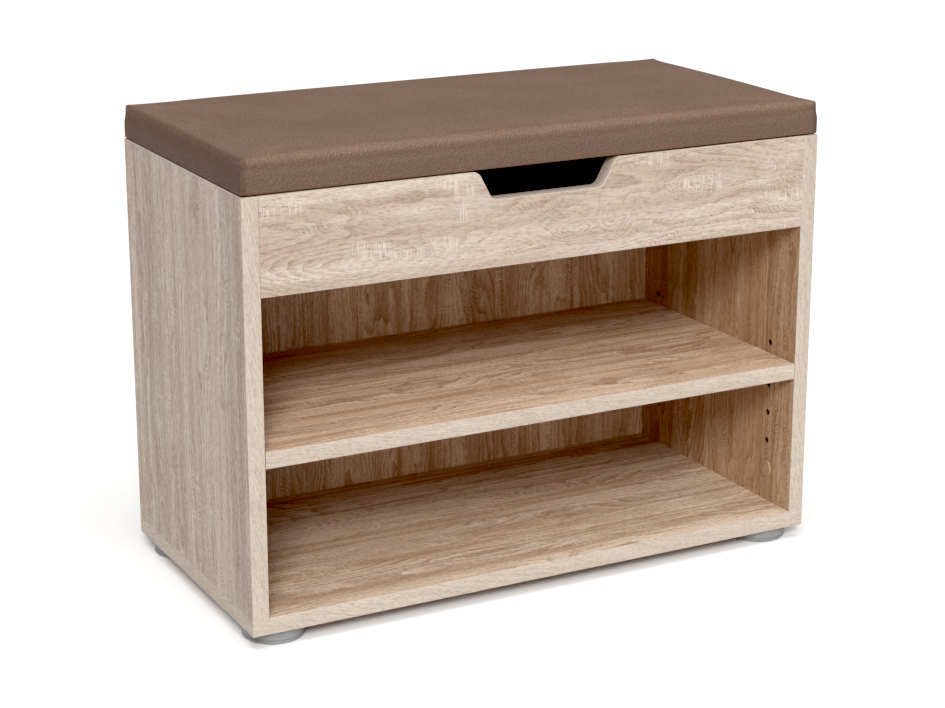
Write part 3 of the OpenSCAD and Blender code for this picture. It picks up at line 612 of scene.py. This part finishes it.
def along_side(length):
    """Places along one side of the top: close together at both corners, about 5 mm apart between."""
    near = np.array([0.0, 2.0, 4.0, 6.5, 9.5, 13.0]) * mm
    count = round((length - 2 * near[-1]) / (5 * mm))
    between = np.linspace(near[-1], length - near[-1], count + 1)
    return np.concatenate([near[:-1], between, length - near[:-1][::-1]]) - length / 2


def cover_section(roll):
    """How the cover runs outwards and down from the flat top: a quarter roll over the foam's edge,
    straight down the pad and the board, a small roll under the board, and the folded return.
    Gives each line's distance in from the outer face, and its height, for a roll of any radius:
    one row for each line, one column for each radius."""
    top = cover_high.z - slack_top
    roll = np.atleast_1d(roll)
    same = np.ones_like(roll)
    turn = np.linspace(0, np.pi / 2, 7)[1:, None]
    inset = [roll * (1 - np.sin(turn))]
    height = [top - roll * (1 - np.cos(turn))]
    share = np.linspace(0, 1, 7)[1:, None]
    inset.append(0 * share * same)
    height.append((top - roll) * (1 - share) + (cover_low.z + lower_r) * share)
    turn = np.linspace(0, np.pi / 2, 4)[1:, None]
    inset.append(lower_r * (1 - np.cos(turn)) * same)
    height.append(cover_low.z + lower_r * (1 - np.sin(turn)) * same)
    inset.append(np.linspace(lower_r, return_w, 6)[1:, None] * same)
    height.append(np.full((5, 1), cover_low.z) * same)
    return np.vstack(inset), np.vstack(height)


def cover_surface():
    """The cover as one sheet. The flat top is a grid; its rim is carried outwards as rectangles
    that follow the section, whose roll tightens towards the corners, where the fold holds it.
    Corners are drawn down by a falling exponential, and every upright corner is rounded by
    pushing points onto a circle about the corner's inner point."""
    across_x, across_y = along_side(2 * (half_x - roll_r)), along_side(2 * (half_y - roll_r))
    grid_x, grid_y = np.meshgrid(across_x, across_y, indexing="ij")
    columns, rows = len(across_x), len(across_y)
    index = np.arange(columns * rows).reshape(columns, rows)
    rim = np.concatenate([index[:-1, 0], index[-1, :-1], index[:0:-1, -1], index[0, :0:-1]])
    flat = np.stack([grid_x.ravel(), grid_y.ravel()], axis=1)
    inner = np.array([half_x - roll_r, half_y - roll_r])
    to_corner = (inner - np.abs(flat[rim])).max(axis=1)
    inset, height = cover_section(roll_r - (roll_r - corner_roll_r) * np.exp(-to_corner / (14 * mm)))
    rings = flat[rim] / inner * (np.array([half_x, half_y]) - inset[:, :, None])
    plan = np.vstack([flat, rings.reshape(-1, 2)])
    level = np.concatenate([np.full(len(flat), cover_high.z - slack_top), height.ravel()])
    from_side = np.array([half_x, half_y]) - np.abs(plan)
    pulled = 2.2 * mm * np.exp(-from_side.sum(axis=1) / (38 * mm))
    level = level - pulled * np.clip((level - foam_z) / (10 * mm), 0, 1)
    inside = np.clip(plan, -np.array([half_x, half_y]) + corner_r, np.array([half_x, half_y]) - corner_r)
    off = plan - inside
    reach = np.maximum(np.linalg.norm(off, axis=1), 1e-9)
    plan = inside + off * (np.abs(off).max(axis=1) / reach)[:, None]
    points = np.column_stack([plan[:, 0], plan[:, 1] + middle_y, level])
    ring_index = np.vstack([rim, len(flat) + np.arange(inset.size).reshape(inset.shape)])
    ring_faces = ring_index.ravel()[grid_faces(len(ring_index), len(rim), wrap_columns=True)]
    return points, index.ravel()[grid_faces(columns, rows)], ring_faces, ring_index


def settle(points, faces, loose, most):
    """The foam's push on the cover, as cloth under pressure: points that aren't loose stay on the
    board, and no point moves further than most."""
    mesh = bpy.data.meshes.new("cover_trial")
    mesh.from_pydata(points.tolist(), [], faces.tolist())
    trial = bpy.data.objects.new("cover_trial", mesh)
    bpy.context.scene.collection.objects.link(trial)
    group = trial.vertex_groups.new(name="on_board")
    group.add(np.flatnonzero(~loose).tolist(), 1.0, "REPLACE")
    cloth = trial.modifiers.new("cloth", "CLOTH")
    cloth.settings.quality = 8
    cloth.settings.mass = 0.3
    cloth.settings.tension_stiffness = 30
    cloth.settings.compression_stiffness = 30
    cloth.settings.shear_stiffness = 20
    cloth.settings.bending_stiffness = 2
    cloth.settings.use_pressure = True
    cloth.settings.uniform_pressure_force = 4
    cloth.settings.vertex_group_mass = "on_board"
    cloth.settings.effector_weights.gravity = 0
    for frame_number in range(1, 21):
        bpy.context.scene.frame_set(frame_number)
    settled = trial.evaluated_get(bpy.context.evaluated_depsgraph_get())
    found = np.empty(len(points) * 3, np.float32)
    settled.data.vertices.foreach_get("co", found)
    bpy.context.scene.frame_set(1)
    bpy.data.objects.remove(trial)
    moved = found.reshape(-1, 3) - points
    length = np.maximum(np.linalg.norm(moved, axis=1), 1e-9)
    return points + moved * np.minimum(1, most / length)[:, None]


cover_points, top_faces, side_faces, cover_rings = cover_surface()
all_faces = np.vstack([top_faces, side_faces])
loose = cover_points[:, 2] > foam_z + 2 * mm
cover_points = settle(cover_points, all_faces, loose, 1.8 * mm)

foam_look, tree, shader = new_material("seat_foam", Specular_IOR_Level=0.2)
place = add_node(tree, "TexCoord", {}).outputs["Object"]
spread = add_node(tree, "VectorMath", {0: place, 1: [1 / (1.1 * mm)] * 3}, operation="MULTIPLY").outputs[0]
cells = add_node(tree, "TexVoronoi", {"Vector": spread, "Scale": 1.0}).outputs["Distance"]
cloud = cloudy(tree, place, (40 * mm, 40 * mm, 20 * mm), 2.0)
foam_colour = mixed(tree, fade(tree, cloud, 0.3, 0.7), colour(236, 226, 190), colour(224, 210, 168))
foam_colour = mixed(tree, fade(tree, cells, 0.2, 0.6, 0.45, 0.0), foam_colour, colour(176, 158, 112))
tree.links.new(foam_colour, shader.inputs["Base Color"])
tree.links.new(fade(tree, cells, 0.1, 0.7, 0.95, 0.8), shader.inputs["Roughness"])
bump = add_node(tree, "Bump", {"Height": cells, "Strength": 0.6, "Distance": 0.4 * mm})
tree.links.new(bump.outputs[0], shader.inputs["Normal"])

under_cover = 1.4 * mm
foam_rings = int((cover_section(roll_r)[1] > foam_z).sum()) + 1
foam_points = cover_points.copy()
foam_points[:, 0] *= (half_x - under_cover) / half_x
foam_points[:, 1] = (foam_points[:, 1] - middle_y) * (half_y - under_cover) / half_y + middle_y
foam_points[:, 2] = np.maximum(foam_points[:, 2] - under_cover, foam_z)
base = foam_points.copy()
base[:, 2] = foam_z
rings_used = cover_rings[:foam_rings]
foam_side = rings_used.ravel()[grid_faces(foam_rings, cover_rings.shape[1], wrap_columns=True)]
last_ring = rings_used[-1]
foam_points[last_ring, 2] = foam_z
count = len(foam_points)
under_index = np.concatenate([rings_used[0] + count, last_ring])
foam_under = under_index[grid_faces(2, cover_rings.shape[1], wrap_columns=True)]
foam_faces = np.vstack([top_faces, foam_side, foam_under, top_faces + count])
foam_shape = (np.vstack([foam_points, base]), foam_faces)
foam = add_piece("foam_pad", [foam_shape], foam_look, "lid", ["seat_foam"], sharp=60)

# ----------------------------------------------------------- seat: cover, trim
# Brown pebbled leatherette on a knitted back, folded at the corners and stapled under the board; its colour
# is painted darker down the sides and darkest at both ends, as painted shade of the faces turned from the
# light. A black nonwoven cloth closes the underside inside the fold.

leatherette, tree, shader = new_material(
    "leatherette", Specular_IOR_Level=0.28, Sheen_Weight=0.04, Sheen_Roughness=0.45,
    Sheen_Tint=colour(206, 176, 152)
)
place = add_node(tree, "TexCoord", {}).outputs["Object"]
wander = add_node(tree, "TexNoise", {"Vector": place, "Scale": 420.0, "Detail": 2.0})
push = add_node(tree, "VectorMath", {0: wander.outputs["Color"], 1: [0.9 * mm] * 3}, operation="MULTIPLY")
bent = add_node(tree, "VectorMath", {0: place, 1: push.outputs[0]}, operation="ADD").outputs[0]
spread = add_node(tree, "VectorMath", {0: bent, 1: [1 / (1.9 * mm)] * 3}, operation="MULTIPLY").outputs[0]
pebbles = add_node(tree, "TexVoronoi", {"Vector": spread, "Scale": 1.0}, feature="SMOOTH_F1")
pebbles.inputs["Smoothness"].default_value = 0.4
pebble = fade(tree, pebbles.outputs["Distance"], 0.15, 0.75, 1.0, 0.0)
fine = cloudy(tree, place, [0.45 * mm] * 3, 2.0)
cloud = cloudy(tree, place, (70 * mm, 70 * mm, 30 * mm), 3.0)
hide = mixed(tree, fade(tree, cloud, 0.3, 0.7), colour(121, 102, 88), colour(116, 97, 83))
valley = calc(tree, "MULTIPLY", calc(tree, "SUBTRACT", 1.0, pebble), 0.45)
hide = mixed(tree, valley, hide, colour(80, 63, 51))
axes = add_node(tree, "SeparateXYZ", {0: place}).outputs
# painted shade: below the roll the hide is mixed toward a dark brown, and at both ends toward a darker brown
# still
flank = fade(tree, axes[2], cover_high.z - slack_top - roll_r, cover_high.z - slack_top - 2 * mm, 1.0, 0.0)
end = fade(tree, calc(tree, "ABSOLUTE", axes[0]), half_x - 8 * mm, half_x - 2 * mm)
hide = mixed(tree, calc(tree, "MULTIPLY", flank, 0.55), hide, colour(78, 62, 51))
hide = mixed(tree, calc(tree, "MULTIPLY", end, 0.45), hide, colour(58, 46, 38))
tree.links.new(hide, shader.inputs["Base Color"])
rolled = calc(tree, "MULTIPLY", calc(tree, "MULTIPLY", flank, calc(tree, "SUBTRACT", 1.0, flank)), 4.0)
base_gloss = fade(tree, rolled, 0.0, 1.0, 0.62, 0.4)
gloss = calc(tree, "MULTIPLY_ADD", pebble, -0.1, calc(tree, "MULTIPLY_ADD", fine, 0.12, base_gloss))
tree.links.new(gloss, shader.inputs["Roughness"])
relief = calc(tree, "MULTIPLY_ADD", fine, 0.25, pebble)
bump = add_node(tree, "Bump", {"Height": relief, "Strength": 0.9, "Distance": 0.42 * mm})
tree.links.new(bump.outputs[0], shader.inputs["Normal"])

on_return = (cover_points[:, 2] < cover_low.z + 0.1 * mm) & ~loose
from_x = half_x - np.abs(cover_points[:, 0])
from_y = half_y - np.abs(cover_points[:, 1] - middle_y)
folded = on_return & (from_y > from_x + 1.0 * mm) & (from_y < return_w) & (from_x > 2 * mm)
cover_points[folded, 2] -= 0.45 * mm

cover = add_piece("leatherette_cover", [(cover_points, all_faces)], leatherette, "lid",
                  ["seat_cover"], closed=False, sharp=180)
shell = cover.modifiers.new("thickness", "SOLIDIFY")
shell.thickness = 0.9 * mm
shell.offset = -1
finer = cover.modifiers.new("finer", "SUBSURF")
finer.levels = 1
finer.render_levels = 1

finish_node("cover_staples", zinc_steel)

lining_look, tree, shader = new_material("lining_cloth", Specular_IOR_Level=0.25)
place = add_node(tree, "TexCoord", {}).outputs["Object"]
fibres = cloudy(tree, place, (0.35 * mm, 0.35 * mm, 0.35 * mm), 4.0, 0.7)
dots = add_node(tree, "TexVoronoi", {"Vector": place, "Scale": 1 / (1.5 * mm), "Randomness": 0.15})
pressed = fade(tree, dots.outputs["Distance"], 0.18, 0.34, 1.0, 0.0)
cloth_colour = mixed(tree, fade(tree, fibres, 0.3, 0.7), colour(34, 34, 36), colour(62, 62, 65))
cloth_colour = mixed(tree, calc(tree, "MULTIPLY", pressed, 0.6), cloth_colour, colour(24, 24, 26))
tree.links.new(cloth_colour, shader.inputs["Base Color"])
tree.links.new(fade(tree, pressed, 0.0, 1.0, 0.9, 0.6), shader.inputs["Roughness"])
height = calc(tree, "SUBTRACT", fibres, pressed)
bump = add_node(tree, "Bump", {"Height": height, "Strength": 0.5, "Distance": 0.15 * mm})
tree.links.new(bump.outputs[0], shader.inputs["Normal"])

lining_low, lining_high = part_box("lid_lining")
lining_size = (lining_high.x - lining_low.x, lining_high.y - lining_low.y)
share_x, share_y = np.meshgrid(np.linspace(0, 1, 100), np.linspace(0, 1, 44), indexing="ij")
waves = np.sin(share_x * 23 + 2 * np.sin(share_y * 5)) * np.sin(share_y * 11 + share_x * 4)
edge_hold = np.sin(share_x * np.pi) * np.sin(share_y * np.pi)
lining_points = np.stack([lining_low.x + share_x * lining_size[0], lining_low.y + share_y * lining_size[1],
                          lining_high.z - 0.2 * mm + 0.12 * mm * waves * edge_hold], axis=-1)
lining = add_piece("underside_lining", [(lining_points.reshape(-1, 3), grid_faces(100, 44))], lining_look,
                   "lid", ["lid_lining"], closed=False, sharp=180)
shell = lining.modifiers.new("thickness", "SOLIDIFY")
shell.thickness = 0.25 * mm
shell.offset = 0

rubber, tree, shader = new_material("bumper_rubber", Specular_IOR_Level=0.5)
place = add_node(tree, "TexCoord", {}).outputs["Object"]
cloud = cloudy(tree, place, (1.5 * mm, 1.5 * mm, 1.5 * mm), 3.0)
tree.links.new(mixed(tree, cloud, colour(58, 52, 47), colour(84, 77, 70)), shader.inputs["Base Color"])
tree.links.new(fade(tree, cloud, 0.3, 0.7, 0.5, 0.66), shader.inputs["Roughness"])
bumper_low, bumper_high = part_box("lid_bumpers")
bumper_r = (bumper_high.y - bumper_low.y) / 2
bumper_t = bumper_high.z - bumper_low.z
dome = [(0.0, 0.0), (bumper_r, 0.0), (bumper_r, 0.3 * bumper_t), (0.9 * bumper_r, 0.7 * bumper_t),
        (0.6 * bumper_r, 0.93 * bumper_t), (0.0, bumper_t)]
dots = [turned(dome, (side * (bumper_high.x - bumper_r), bumper_low.y + bumper_r, bumper_low.z), steps=32)
        for side in (-1, 1)]
add_piece("lid_stop_dots", dots, rubber, "carcass", ["lid_bumpers"], sharp=60)

# ---------------------------------------------------------------------- studio
# A plain pale floor under soft light: a wide lamp at the left front, a wider one above, a small
# one at the right front that lifts the edges, a low warm one that fills the bays, and an even
# surround that lights little but is seen white. The camera looks down from the left front.

floor_look, tree, shader = new_material("studio_floor", Specular_IOR_Level=0.1)
place = add_node(tree, "TexCoord", {}).outputs["Object"]
cloud = cloudy(tree, place, (0.4, 0.4, 0.4), 2.0)
pale = mixed(tree, fade(tree, cloud, 0.3, 0.7), colour(228, 228, 228), colour(225, 225, 225))
tree.links.new(pale, shader.inputs["Base Color"])
shader.inputs["Roughness"].default_value = 0.9
floor_mesh = bpy.data.meshes.new("studio_floor")
reach = 30.0
floor_mesh.from_pydata([(-reach, -reach, 0), (reach, -reach, 0), (reach, reach, 0), (-reach, reach, 0)], [],
                       [(0, 1, 2, 3)])
floor_mesh.materials.append(floor_look)
floor = bpy.data.objects.new("studio_floor", floor_mesh)
bpy.context.scene.collection.objects.link(floor)


def soft_sun(name, azimuth, elevation, strength, width, tint=(1.0, 1.0, 1.0)):
    """An even lamp far away: azimuth to the right of the bench's front, elevation above the floor
    and width as seen from the bench, all in degrees; tint is its light's colour."""
    lamp = bpy.data.lights.new(name, "SUN")
    lamp.color = tint
    lamp.energy = strength
    lamp.angle = math.radians(width)
    stand = bpy.data.objects.new(name, lamp)
    bpy.context.scene.collection.objects.link(stand)
    stand.rotation_euler = (math.radians(90 - elevation), 0.0, math.radians(azimuth))
    return stand


soft_sun("key_sun", -27.0, 34.0, 3.15, 18.0)
soft_sun("top_sun", -30.0, 76.0, 1.7, 34.0)
soft_sun("edge_sun", 38.0, 48.0, 0.5, 10.0)
soft_sun("fill_sun", -22.0, 9.0, 0.8, 40.0, (1.0, 0.86, 0.72))

surround = bpy.data.worlds.new("surround")
bpy.context.scene.world = surround
surround.use_nodes = True
backdrop = surround.node_tree.nodes["Background"]
backdrop.inputs["Color"].default_value = (1.0, 1.0, 1.0, 1.0)
lights, seen_white = 0.24, 1.0
seen = add_node(surround.node_tree, "LightPath", {}).outputs["Is Camera Ray"]
glow = calc(surround.node_tree, "MULTIPLY_ADD", seen, seen_white - lights, lights)
surround.node_tree.links.new(glow, backdrop.inputs["Strength"])

azimuth, elevation = math.radians(27.86), math.radians(15.6)
lens = bpy.data.cameras.new("camera")
lens.sensor_width = 36.0
lens.lens = 83.82
lens.shift_y = -0.0497
camera = bpy.data.objects.new("camera", lens)
bpy.context.scene.collection.objects.link(camera)
camera.location = (-0.9757, -1.8457, 0.8289)
camera.rotation_euler = (math.pi / 2 - elevation, 0.0, -azimuth)
bpy.context.scene.camera = camera
look = bpy.context.scene.view_settings
look.view_transform = "Standard"
look.use_curve_mapping = True
look.curve_mapping.black_level = (0.018, 0.029, 0.027)
